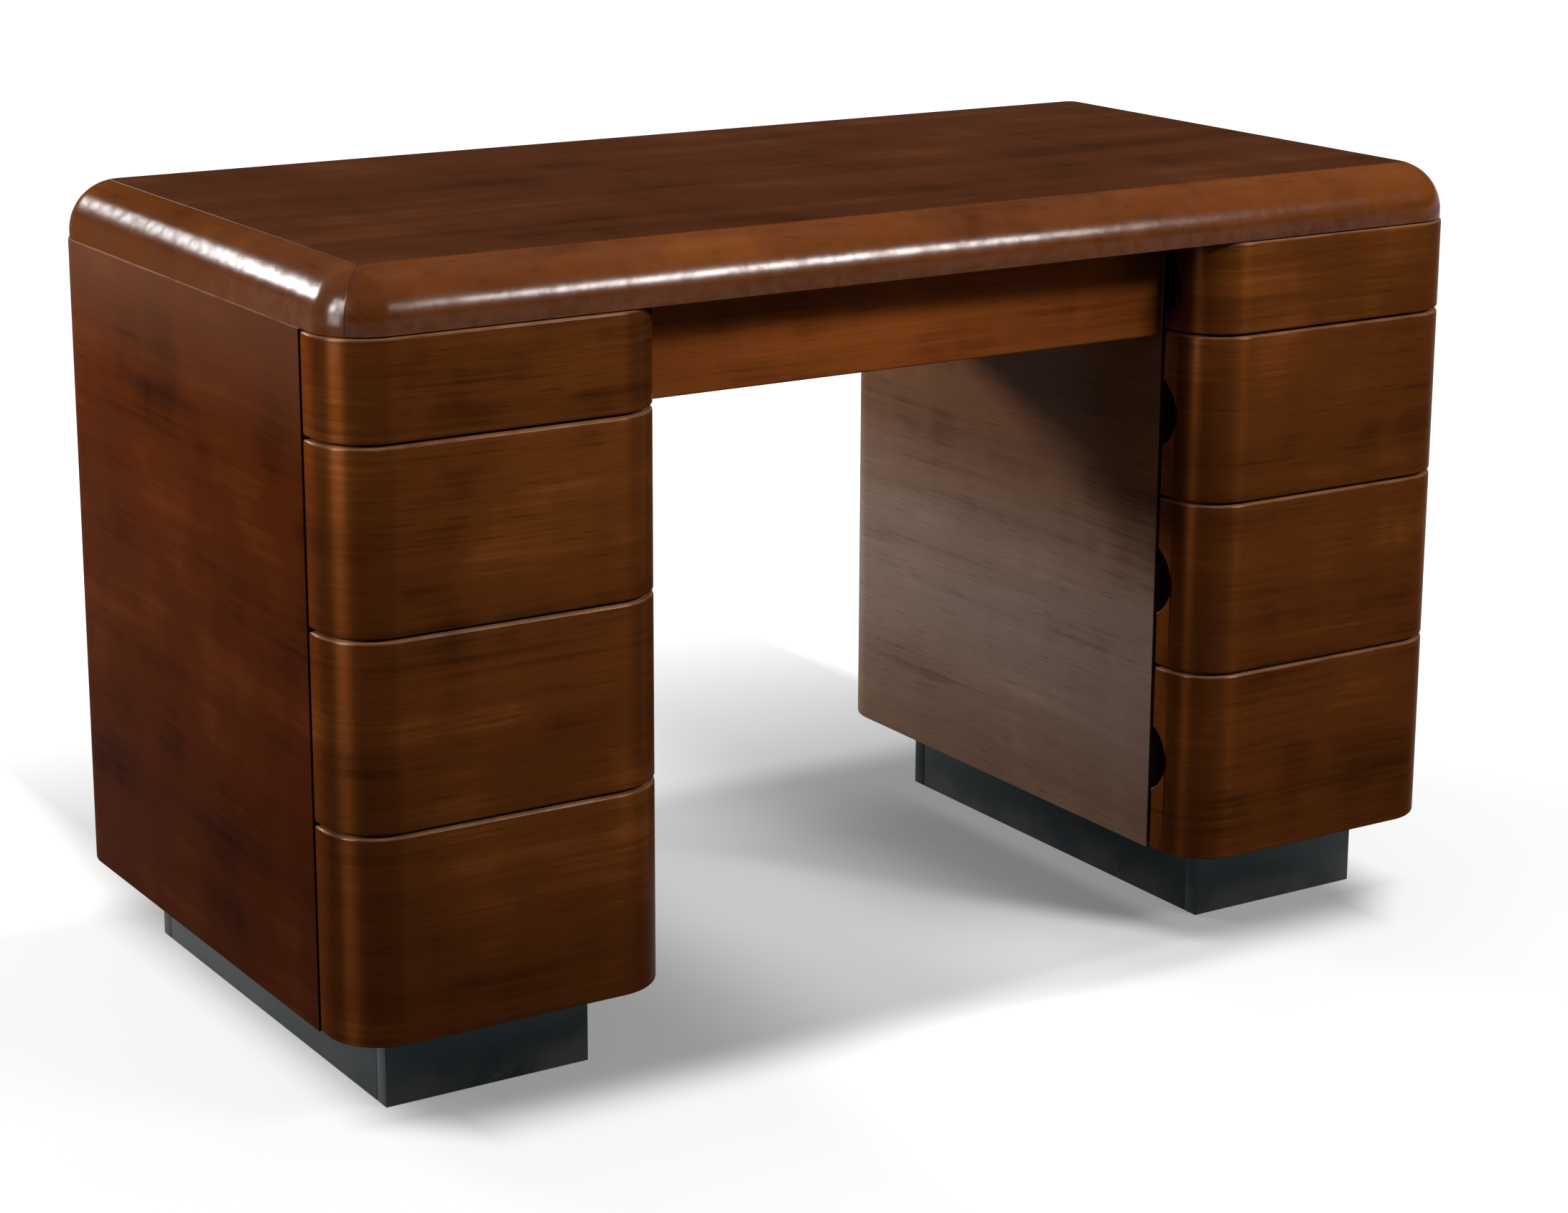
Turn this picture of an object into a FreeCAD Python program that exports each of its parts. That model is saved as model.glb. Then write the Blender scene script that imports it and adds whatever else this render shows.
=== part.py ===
import FreeCAD, Part
import os

from FreeCAD import Vector

# Kneehole desk with two drawer pedestals, a wide middle drawer and a waterfall top.
# Millimetres. The floor is z = 0, the front faces -Y and the origin is under the middle of the desk.

# Whole desk
desk_width = 1212.0
desk_depth = 626.0
desk_height = 748.0
pedestal_width = 315.0
corner_radius = 52.0          # upright corners of both pedestals, seen from above

# Top
top_thickness = 54.0
top_edge_radius = 48.0        # quarter round that runs down over every edge
top_border = 40.0             # width of the edge mouldings round the veneered field
top_setback = 1.5             # the pedestals stand this far proud of the top

# Pedestal shells
side_thickness = 16.0
front_reach = 71.0            # from the drawer faces back to the front edge of the side panels
base_thickness = 16.0
rail_thickness = 12.0
rail_width = 60.0

# Plinths
plinth_height = 80.0
plinth_board = 18.0
plinth_side_inset = 57.0
plinth_front_inset = 61.0
plinth_back_inset = 67.0

# Drawer fronts, from the top drawer down, as shares of the pedestal's height
drawer_height_shares = (0.147, 0.267, 0.277, 0.309)
front_gap = 3.0               # between one front and the next
return_gap = 3.5              # between a front's bent ends and the side panels
front_edge_ease = 2.5
notch_length = 64.0           # half-moon finger notch in the end on the kneehole side
notch_depth = 20.0
finger_space = 16.0           # behind the notch, between a front's bent end and the drawer side

# Middle drawer and the rail behind it
centre_front_height = 97.0
centre_front_thickness = 18.0
kneehole_rail_thickness = 18.0

# Drawer boxes and what they run on
box_side_thickness = 11.0
box_back_thickness = 11.0
box_bottom_thickness = 6.0
box_bottom_lift = 6.0         # from the lower edge of a drawer side up to its bottom panel
runner_width = 30.0
runner_height = 12.0
slide_clearance = 2.0         # beside a drawer
runner_clearance = 0.3        # under a drawer
head_clearance = 3.0          # above a drawer
rear_clearance = 4.0          # from a drawer's back to where the sides start to bend
stop_clearance = 0.3          # between a shut drawer and its stop
stop_width = 48.0
stop_height = 24.0
corner_fit = 1.0              # a board's rounded corner is this much rounder than its hollow

# Helpers for cutting and for finding edges
overrun = 10.0
match_tolerance = 0.001

# Places worked out from the sizes above
half = 0.5
x_outer = -desk_width * half                    # the left pedestal; the right one is its mirror image
x_inner = x_outer + pedestal_width
y_front = -desk_depth * half
y_back = desk_depth * half
y_panel = y_front + front_reach                 # front edge of the side panels
y_flat_end = y_back - corner_radius             # where the sides start to bend round the back
z_base = plinth_height
z_under = desk_height - top_thickness           # underside of the top
front_thickness = side_thickness + slide_clearance
box_rise = base_thickness + runner_height + runner_clearance
box_headroom = rail_thickness + head_clearance
x_hollow = (x_outer + side_thickness, x_inner - side_thickness)
x_kneehole = (x_inner, -x_inner)


def board(x, y, z):
    return Part.makeBox(x[1] - x[0], y[1] - y[0], z[1] - z[0], Vector(x[0], y[0], z[0]))


def prism(points, z):
    corners = [Vector(x, y, z[0]) for x, y in points]
    face = Part.Face(Part.makePolygon(corners + corners[:1]))
    return face.extrude(Vector(0, 0, z[1] - z[0]))


def uprights(shape):
    return [edge for edge in shape.Edges if edge.BoundBox.ZLength > match_tolerance]


def level_edges(shape):
    return [edge for edge in shape.Edges if edge.BoundBox.ZLength < match_tolerance]


def rounded_board(x, y_open, y_round, z, radius):
    # a board whose two upright corners at y_round are rounded
    block = board(x, sorted((y_open, y_round)), z)
    corners = [edge for edge in uprights(block) if abs(edge.CenterOfMass.y - y_round) < match_tolerance]
    return block.makeFillet(radius, corners)


def bent_wall(x, y_open, y_round, z, wall, ease=0):
    # a bent plywood wall: one flat face, two rounded corners and two returns that end at y_open
    inward = wall if y_open > y_round else -wall
    past_end = overrun if y_open > y_round else -overrun
    outer = rounded_board(x, y_open, y_round, z, corner_radius)
    if ease:
        rim = [edge for edge in level_edges(outer) if abs(edge.CenterOfMass.y - y_open) > match_tolerance]
        outer = outer.makeFillet(ease, rim)
    inner = rounded_board(
        (x[0] + wall, x[1] - wall),
        y_open + past_end,
        y_round + inward,
        (z[0] - overrun, z[1] + overrun),
        corner_radius - wall,
    )
    return outer.cut(inner)


def slice_across(shape, x):
    box = shape.BoundBox
    return shape.common(board(x, (box.YMin - overrun, box.YMax + overrun), (box.ZMin, box.ZMax)))


def group(solids):
    return Part.makeCompound(solids)


def mirrored(shape):
    return shape.mirror(Vector(0, 0, 0), Vector(1, 0, 0))


def top_pieces():
    x = (x_outer + top_setback, -x_outer - top_setback)
    y = (y_front + top_setback, y_back - top_setback)
    z = (z_under, desk_height)
    slab = board(x, y, z)
    slab = slab.makeFillet(corner_radius - top_setback, uprights(slab))
    upper_rim = [edge for edge in level_edges(slab) if edge.CenterOfMass.z > desk_height - match_tolerance]
    slab = slab.makeFillet(top_edge_radius, upper_rim)

    inner_x = (x[0] + top_border, x[1] - top_border)
    inner_y = (y[0] + top_border, y[1] - top_border)
    field = slab.common(board(inner_x, inner_y, z))
    outer_corners = [(x[0], y[0]), (x[1], y[0]), (x[1], y[1]), (x[0], y[1])]
    inner_corners = [
        (inner_x[0], inner_y[0]),
        (inner_x[1], inner_y[0]),
        (inner_x[1], inner_y[1]),
        (inner_x[0], inner_y[1]),
    ]
    pieces = {"top_field_panel": field}
    for start, name in enumerate(("front", "right", "back", "left")):
        end = (start + 1) % len(outer_corners)
        mitred = [outer_corners[start], outer_corners[end], inner_corners[end], inner_corners[start]]
        pieces["top_edge_" + name] = slab.common(prism(mitred, z))
    return pieces


def drawer_levels():
    # lower and upper limit of each drawer's space, from the top drawer down
    body_height = z_under - z_base
    levels = []
    upper = z_under
    for share in drawer_height_shares:
        lower = upper - share * body_height
        levels.append((lower, upper))
        upper = lower
    return levels


def runner_pair(x, y, level_bottom):
    # two bearers fixed to facing panels, just under the sides of a drawer
    top = level_bottom + base_thickness + runner_height
    z = (top - runner_height, top)
    return [
        board((x[0], x[0] + runner_width), y, z),
        board((x[1] - runner_width, x[1]), y, z),
    ]


def pedestal_pieces():
    x = (x_outer, x_inner)
    z = (z_base, z_under)
    shell = bent_wall(x, y_panel, y_back, z, side_thickness)
    bend_x = (x_outer + corner_radius, x_inner - corner_radius)
    y_hollow_end = y_back - side_thickness
    rail_z = (z_under - rail_thickness, z_under)
    runners = []
    for level in drawer_levels():
        runners += runner_pair(x_hollow, (y_panel, y_flat_end), level[0])

    plinth_x = (x_outer + plinth_side_inset, x_inner - plinth_side_inset)
    plinth_y = (y_front + plinth_front_inset, y_back - plinth_back_inset)
    plinth_z = (0, plinth_height)
    between_ends = (plinth_y[0] + plinth_board, plinth_y[1] - plinth_board)
    return {
        "outer_side": slice_across(shell, (x_outer, bend_x[0])),
        "inner_side": slice_across(shell, (bend_x[1], x_inner)),
        "back_panel": slice_across(shell, bend_x),
        "base_board": rounded_board(
            x_hollow,
            y_panel,
            y_hollow_end,
            (z_base, z_base + base_thickness),
            corner_radius - side_thickness + corner_fit,
        ),
        "top_rails": group([
            board(x_hollow, (y_panel, y_panel + rail_width), rail_z),
            board(x_hollow, (y_flat_end - rail_width, y_flat_end), rail_z),
        ]),
        "runners": group(runners),
        "plinth_ends": group([
            board(plinth_x, (plinth_y[0], between_ends[0]), plinth_z),
            board(plinth_x, (between_ends[1], plinth_y[1]), plinth_z),
        ]),
        "plinth_sides": group([
            board((plinth_x[0], plinth_x[0] + plinth_board), between_ends, plinth_z),
            board((plinth_x[1] - plinth_board, plinth_x[1]), between_ends, plinth_z),
        ]),
    }


def drawer_box(x, y, z):
    # the two sides and the back of a drawer, and the heights of its bottom panel
    inside = (x[0] + box_side_thickness, x[1] - box_side_thickness)
    sides = group([board((x[0], inside[0]), y, z), board((inside[1], x[1]), y, z)])
    back = board(inside, (y[1] - box_back_thickness, y[1]), z)
    bottom_z = (z[0] + box_bottom_lift, z[0] + box_bottom_lift + box_bottom_thickness)
    return sides, back, bottom_z


def finger_notch(z):
    # a half-moon cutter lying across the return on the kneehole side
    radius = (notch_length**2 / 4 + notch_depth**2) / (2 * notch_depth)
    y_return_end = y_panel - return_gap
    centre = Vector(x_inner - corner_radius, y_return_end + radius - notch_depth, (z[0] + z[1]) * half)
    return Part.makeCylinder(radius, corner_radius + overrun, centre, Vector(1, 0, 0))


def pedestal_drawer(level):
    lower, upper = level
    front_z = (lower + front_gap * half, upper - front_gap * half)
    x = (x_outer, x_inner)
    front = bent_wall(x, y_panel - return_gap, y_front, front_z, front_thickness, front_edge_ease)
    front = front.cut(finger_notch(front_z))

    inset = front_thickness + finger_space
    box_x = (x_outer + inset, x_inner - inset)
    box_y = (y_front + front_thickness, y_flat_end - rear_clearance)
    box_z = (lower + box_rise, upper - box_headroom)
    behind_front = rounded_board(
        (x_outer + front_thickness, x_inner - front_thickness),
        box_y[1],
        box_y[0],
        box_z,
        corner_radius - front_thickness + corner_fit,
    )
    sides, back, bottom_z = drawer_box(box_x, box_y, box_z)
    bottom = board(box_x, (box_y[0], box_y[1] - box_back_thickness), bottom_z)
    return {
        "front": front,
        "sides": group([side.common(behind_front) for side in sides.Solids]),
        "back": back,
        "bottom": bottom.common(behind_front).cut(sides),
    }


def centre_drawer():
    lower = z_under - centre_front_height
    x = (x_kneehole[0] + slide_clearance, x_kneehole[1] - slide_clearance)
    front_y = (y_panel, y_panel + centre_front_thickness)
    front = board(x, front_y, (lower, z_under - front_gap * half))
    face_rim = [edge for edge in front.Edges if edge.BoundBox.YMax < y_panel + match_tolerance]
    front = front.makeFillet(front_edge_ease, face_rim)

    box_y = (front_y[1], y_flat_end - kneehole_rail_thickness - rear_clearance)
    box_z = (lower + box_rise, z_under - box_headroom)
    sides, back, bottom_z = drawer_box(x, box_y, box_z)
    bottom = board(x, (box_y[0], box_y[1] - box_back_thickness), bottom_z)
    return {"front": front, "sides": sides, "back": back, "bottom": bottom.cut(sides)}


def drawer_stops():
    # blocks on the back panel that a shut drawer comes to rest against
    middle = (x_outer + x_inner) * half
    x = (middle - stop_width * half, middle + stop_width * half)
    y = (y_flat_end - rear_clearance + stop_clearance, y_back - side_thickness)
    bottoms = [level[0] + box_rise for level in drawer_levels()]
    return [board(x, y, (bottom, bottom + stop_height)) for bottom in bottoms]


def kneehole_pieces():
    lower = z_under - centre_front_height
    rail_y = (y_flat_end - kneehole_rail_thickness, y_flat_end)
    runner_y = (y_panel + centre_front_thickness + slide_clearance, rail_y[0])
    return {
        "kneehole_back_rail": board(x_kneehole, rail_y, (lower, z_under)),
        "centre_runners": group(runner_pair(x_kneehole, runner_y, lower)),
    }


def desk_pieces():
    pieces = top_pieces()
    left = {"left_" + name: shape for name, shape in pedestal_pieces().items()}
    for number, level in enumerate(drawer_levels(), start=1):
        for name, shape in pedestal_drawer(level).items():
            left[f"left_drawer_{number}_{name}"] = shape
    for name, shape in left.items():
        pieces[name] = shape
        pieces[name.replace("left_", "right_")] = mirrored(shape)
    stops = group(drawer_stops())
    pieces["drawer_stops"] = group(stops.Solids + mirrored(stops).Solids)
    pieces.update(kneehole_pieces())
    for name, shape in centre_drawer().items():
        pieces["centre_drawer_" + name] = shape
    return pieces


os.makedirs("parts", exist_ok=True)
for node, shape in desk_pieces().items():
    shape.exportStep(f"parts/{node}.step")
    print(node, len(shape.Solids), round(shape.Volume), shape.isValid())
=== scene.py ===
import math

import bmesh
import bpy
from mathutils import Matrix, Vector


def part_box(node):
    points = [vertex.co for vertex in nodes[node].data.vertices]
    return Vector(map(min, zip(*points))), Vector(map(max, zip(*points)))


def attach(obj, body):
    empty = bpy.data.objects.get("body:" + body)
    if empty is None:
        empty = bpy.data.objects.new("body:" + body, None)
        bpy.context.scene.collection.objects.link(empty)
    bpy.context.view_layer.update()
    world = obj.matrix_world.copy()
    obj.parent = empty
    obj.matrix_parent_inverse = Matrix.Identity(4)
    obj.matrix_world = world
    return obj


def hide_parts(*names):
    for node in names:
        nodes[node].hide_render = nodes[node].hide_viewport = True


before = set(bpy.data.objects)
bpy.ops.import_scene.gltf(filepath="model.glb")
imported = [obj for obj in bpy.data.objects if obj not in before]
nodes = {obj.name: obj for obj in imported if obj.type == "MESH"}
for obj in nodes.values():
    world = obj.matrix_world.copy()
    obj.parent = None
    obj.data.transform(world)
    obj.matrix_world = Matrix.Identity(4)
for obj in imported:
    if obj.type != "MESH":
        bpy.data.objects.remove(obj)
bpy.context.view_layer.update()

scene = bpy.context.scene
hands = ("left", "right")
drawerNumbers = (1, 2, 3, 4)
print("frame loaded,", len(nodes), "nodes")


# helpers for materials
def put(tree, kind, inputs=None, **settings):
    # inputs are outputs of other nodes, which get linked, or plain values
    node = tree.nodes.new("ShaderNode" + kind)
    for name, value in settings.items():
        setattr(node, name, value)
    for socket, value in (inputs or {}).items():
        if isinstance(value, bpy.types.NodeSocket):
            tree.links.new(value, node.inputs[socket])
        else:
            node.inputs[socket].default_value = value
    return node


def sums(tree, operation, first, second=0.0, clamp=False):
    return put(tree, "Math", {0: first, 1: second}, operation=operation, use_clamp=clamp).outputs[0]


def times(tree, first, *others):
    for other in others:
        first = sums(tree, "MULTIPLY", first, other)
    return first


def swing(tree, level, share):
    # a pattern's ups and downs about its middle, times a share
    return times(tree, sums(tree, "SUBTRACT", level, 0.5), share)


def ease(tree, value, low, high, start=0.0, end=1.0):
    # goes smoothly from start, at low and below it, to end, at high and above it
    return put(tree, "MapRange", {"Value": value, "From Min": low, "From Max": high, "To Min": start, "To Max": end},
               interpolation_type="SMOOTHSTEP").outputs[0]


def pattern(tree, vector, stretch=None, scale=1.0, detail=2.0, roughness=0.5, between=None):
    # noise; stretch packs it more or less closely along each axis, between gives the levels that become 0 and 1
    if stretch:
        vector = put(tree, "VectorMath", {0: vector, 1: stretch}, operation="MULTIPLY").outputs[0]
    level = put(tree, "TexNoise", {"Vector": vector, "Scale": scale, "Detail": detail,
                                   "Roughness": roughness}).outputs[0]
    return ease(tree, level, *between) if between else level


def tint(tree, amount, first, second):
    return put(tree, "Mix", {0: amount, 6: first, 7: second}, data_type="RGBA").outputs[2]


def axesOf(tree, vector):
    return put(tree, "SeparateXYZ", {0: vector}).outputs


def facingOf(tree):
    return put(tree, "NewGeometry").outputs["Normal"]


def paint(red, green, blue):
    # a colour as a paint chart gives it, 0 to 255, made linear
    def linear(part):
        part /= 255
        return part / 12.92 if part <= 0.04045 else ((part + 0.055) / 1.055) ** 2.4
    return linear(red), linear(green), linear(blue), 1.0


def startMaterial(name):
    material = bpy.data.materials.new(name)
    material.use_nodes = True
    tree = material.node_tree
    return material, tree, tree.nodes["Principled BSDF"], put(tree, "TexCoord").outputs["Object"]


def startGroup(name, inputs, outputs):
    tree = bpy.data.node_groups.new(name, "ShaderNodeTree")
    for way, sockets in (("INPUT", inputs), ("OUTPUT", outputs)):
        for label, kind in sockets.items():
            tree.interface.new_socket(label, in_out=way, socket_type="NodeSocket" + kind)
    return tree, tree.nodes.new("NodeGroupInput").outputs, tree.nodes.new("NodeGroupOutput").inputs


def useGroup(tree, group, inputs):
    return put(tree, "Group", inputs, node_tree=group).outputs


def link(tree, values, sockets):
    for label, value in values.items():
        tree.links.new(value, sockets[label])


# grain of the veneers; Place runs along the grain in X and Y and across it in Z
grainLook = {
    "bend": {"stretch": (1.6, 1.6, 3.2), "detail": 1.0},
    "wander": 0.02,
    "ribbon": {"stretch": (1.1, 1.1, 21.0), "detail": 5.0, "roughness": 0.6, "between": (0.28, 0.72)},
    "fibre": {"stretch": (4.0, 4.0, 220.0), "detail": 3.0, "roughness": 0.6},
    "fibreShare": 0.5,
    "pore": {"stretch": (30.0, 30.0, 1000.0), "detail": 1.0, "between": (0.60, 0.74)},
    "mottle": {"stretch": (24.0, 24.0, 7.0)},
    "mottleShare": 0.28,
    "clouds": {"scale": 6.5, "detail": 3.0, "roughness": 0.55, "between": (0.30, 0.70)},
}


def makeGrainGroup():
    tree, given, result = startGroup(
        "veneerGrain",
        {"Place": "Vector", "Dark": "Color", "Middle": "Color", "Light": "Color",
         "Ribbon": "Float", "Clouds": "Float", "Pores": "Float"},
        {"Color": "Color", "Fibre": "Float", "Pore": "Float"})
    place = given["Place"]
    shift = swing(tree, pattern(tree, place, **grainLook["bend"]), grainLook["wander"])
    lift = put(tree, "CombineXYZ", {"Z": shift}).outputs[0]
    wavy = put(tree, "VectorMath", {0: place, 1: lift}, operation="ADD").outputs[0]
    ribbon, fibre, pore = (pattern(tree, wavy, **grainLook[name]) for name in ("ribbon", "fibre", "pore"))
    mottle, clouds = (pattern(tree, place, **grainLook[name]) for name in ("mottle", "clouds"))
    tone = swing(tree, ribbon, given["Ribbon"])
    for level, share in ((fibre, grainLook["fibreShare"]), (mottle, grainLook["mottleShare"]),
                         (clouds, given["Clouds"])):
        tone = sums(tree, "ADD", tone, swing(tree, level, share))
    tone = sums(tree, "ADD", tone, 0.5, clamp=True)
    colour = tint(tree, ease(tree, tone, 0.0, 0.5), given["Dark"], given["Middle"])
    colour = tint(tree, ease(tree, tone, 0.5, 1.0), colour, given["Light"])
    colour = tint(tree, times(tree, pore, given["Pores"]), colour, given["Dark"])
    link(tree, {"Color": colour, "Fibre": fibre, "Pore": pore}, result)
    return tree


# lacquer: how dull it is from place to place, and its fine unevenness
skinLook = {"smear": {"scale": 9.0, "detail": 4.0, "roughness": 0.6}, "poreDull": 0.05,
            "ripple": {"scale": 55.0}, "rippleShare": 0.6, "fibreShare": 0.25, "poreShare": 0.3}


def makeSkinGroup():
    tree, given, result = startGroup(
        "lacquerSkin",
        {"Place": "Vector", "Fibre": "Float", "Pore": "Float", "Dull": "Float", "Spread": "Float"},
        {"Roughness": "Float", "Height": "Float"})
    smear = swing(tree, pattern(tree, given["Place"], **skinLook["smear"]), given["Spread"])
    rough = sums(tree, "ADD", smear, given["Dull"])
    rough = sums(tree, "ADD", rough, times(tree, given["Pore"], skinLook["poreDull"]), clamp=True)
    height = times(tree, pattern(tree, given["Place"], **skinLook["ripple"]), skinLook["rippleShare"])
    height = sums(tree, "ADD", height, times(tree, given["Fibre"], skinLook["fibreShare"]))
    height = sums(tree, "SUBTRACT", height, times(tree, given["Pore"], skinLook["poreShare"]))
    link(tree, {"Roughness": rough, "Height": height}, result)
    return tree


# bare edges of bent plywood: thin layers between the two faces, from the "ply" value of each point
plyLook = {"layers": 9.0, "pale": paint(150, 104, 66), "deep": paint(96, 58, 32), "faces": (0.02, 0.09),
           "speck": {"scale": 240.0, "detail": 3.0}, "blur": (-0.5, 0.5)}


def makePlyGroup():
    tree, given, result = startGroup(
        "plywoodEdge",
        {"Color": "Color", "Ply": "Float", "Wear": "Float", "Place": "Vector"},
        {"Color": "Color"})
    inside = sums(tree, "MINIMUM", given["Ply"], sums(tree, "SUBTRACT", 1.0, given["Ply"]))
    shown = times(tree, ease(tree, inside, *plyLook["faces"]), given["Wear"])
    wave = sums(tree, "SINE", times(tree, given["Ply"], plyLook["layers"] * math.pi))
    speck = sums(tree, "SUBTRACT", pattern(tree, given["Place"], **plyLook["speck"]), 0.5)
    layer = ease(tree, sums(tree, "ADD", wave, speck), *plyLook["blur"])
    edge = tint(tree, layer, plyLook["deep"], plyLook["pale"])
    link(tree, {"Color": tint(tree, shown, given["Color"], edge)}, result)
    return tree


# painted light and shade: a colour goes over into another with height, darker or lighter, standing in for how the
# light falls
def makeHeightShadingGroup():
    tree, given, result = startGroup(
        "paintedHeightShading",
        {"Color": "Color", "Place": "Vector", "To": "Color",
         "Low": "Float", "High": "Float", "Below": "Float", "Above": "Float"},
        {"Color": "Color"})
    height = axesOf(tree, given["Place"])["Z"]
    amount = ease(tree, height, given["Low"], given["High"], given["Below"], given["Above"])
    link(tree, {"Color": tint(tree, amount, given["Color"], given["To"])}, result)
    return tree


# edges that face up are painted pale in patches, partly as wear and partly as a painted highlight where they catch
# the light, and are glossy; ends that face right are glossy
rimWearAndHighlightLook = {"up": (0.15, 0.55), "right": (0.3, 0.8), "tone": paint(156, 116, 92),
            "patch": {"scale": 30.0, "detail": 3.0, "between": (0.25, 0.65)}}


def makeRimWearAndHighlightGroup():
    tree, given, result = startGroup(
        "rubbedAndLitRims",
        {"Color": "Color", "Place": "Vector", "Facing": "Vector", "Wear": "Float",
         "Coat": "Float", "Rim Coat": "Float", "End Coat": "Float"},
        {"Color": "Color", "Coat": "Float"})
    facing = axesOf(tree, given["Facing"])
    rim = ease(tree, facing["Z"], *rimWearAndHighlightLook["up"], given["Coat"], given["Rim Coat"])
    end = ease(tree, facing["X"], *rimWearAndHighlightLook["right"], 0.0, given["End Coat"])
    wornAndLit = times(tree, ease(tree, facing["Z"], *rimWearAndHighlightLook["up"], 0.0, given["Wear"]),
                 pattern(tree, given["Place"], **rimWearAndHighlightLook["patch"]))
    colour = tint(tree, wornAndLit, given["Color"], rimWearAndHighlightLook["tone"])
    link(tree, {"Color": colour, "Coat": sums(tree, "ADD", rim, end)}, result)
    return tree


# fine scratches break up the gloss
scratchLook = {"marks": {"scale": 70.0, "detail": 4.0, "roughness": 0.7}, "between": (0.38, 0.60)}


def makeScratchGroup():
    tree, given, result = startGroup(
        "scratchedGloss",
        {"Place": "Vector", "Least": "Float", "Most": "Float"},
        {"Coat": "Float"})
    marks = pattern(tree, given["Place"], **scratchLook["marks"])
    link(tree, {"Coat": ease(tree, marks, *scratchLook["between"], given["Least"], given["Most"])}, result)
    return tree


# painted shade: the edges that face the front go near-black, standing in for the shade in the gaps and notches where
# they are seen
gapShadeLook = {"front": (-0.9, -0.5), "amount": 0.9}


def makeGapShadeGroup():
    tree, given, result = startGroup(
        "shadedFrontEdges",
        {"Color": "Color", "Facing": "Vector", "Painted Shade": "Color"},
        {"Color": "Color"})
    forward = ease(tree, axesOf(tree, given["Facing"])["Y"], *gapShadeLook["front"], gapShadeLook["amount"], 0.0)
    link(tree, {"Color": tint(tree, forward, given["Color"], given["Painted Shade"])}, result)
    return tree


grainGroup = makeGrainGroup()
skinGroup = makeSkinGroup()
plyGroup = makePlyGroup()
heightShadingGroup = makeHeightShadingGroup()
rimWearAndHighlightGroup = makeRimWearAndHighlightGroup()
scratchGroup = makeScratchGroup()
gapShadeGroup = makeGapShadeGroup()
bumpDepth = 0.0004


def addGrain(tree, place, look, shades):
    dark, middle, light = shades
    return useGroup(tree, grainGroup, {"Place": place, "Dark": dark, "Middle": middle, "Light": light,
                                       "Ribbon": look["ribbon"], "Clouds": look["clouds"], "Pores": look["pores"]})


def addHeightShading(tree, colour, seen, levels, to):
    low, high, below, above = levels
    return useGroup(tree, heightShadingGroup, {"Color": colour, "Place": seen, "To": to, "Low": low, "High": high,
                                      "Below": below, "Above": above})["Color"]


def addBloomAndSheen(tree, colour, seen, place, look):
    # the faces towards the kneehole are paler and greyer at middle height: partly a dull bloom, partly a painted
    # sheen, the reflection of the pale floor
    bloomAndSheen, spot = look["bloomAndSheen"], axesOf(tree, seen)
    warm, greySheen = (addGrain(tree, place, look, bloomAndSheen[name])["Color"] for name in ("warm", "greySheen"))
    middle = times(tree, ease(tree, spot["Z"], *bloomAndSheen["foot"]), ease(tree, spot["Z"], *bloomAndSheen["head"]))
    inner = ease(tree, sums(tree, "ABSOLUTE", spot["X"]), *bloomAndSheen["edge"])
    return tint(tree, inner, colour, tint(tree, middle, warm, greySheen))


def addScratches(tree, seen, look):
    coat = useGroup(tree, scratchGroup, {"Place": seen, "Least": look["coat"] * (1 - look["scratched"]),
                                         "Most": look["coat"]})["Coat"]
    if "rubbed" in look:  # less gloss towards the rear and low down
        rubbed = look["rubbed"]
        coat = times(tree, coat, ease(tree, axesOf(tree, seen)["Y"], *rubbed["rear"]),
                     ease(tree, axesOf(tree, facingOf(tree))["Z"], *rubbed["low"]))
    return coat


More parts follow.
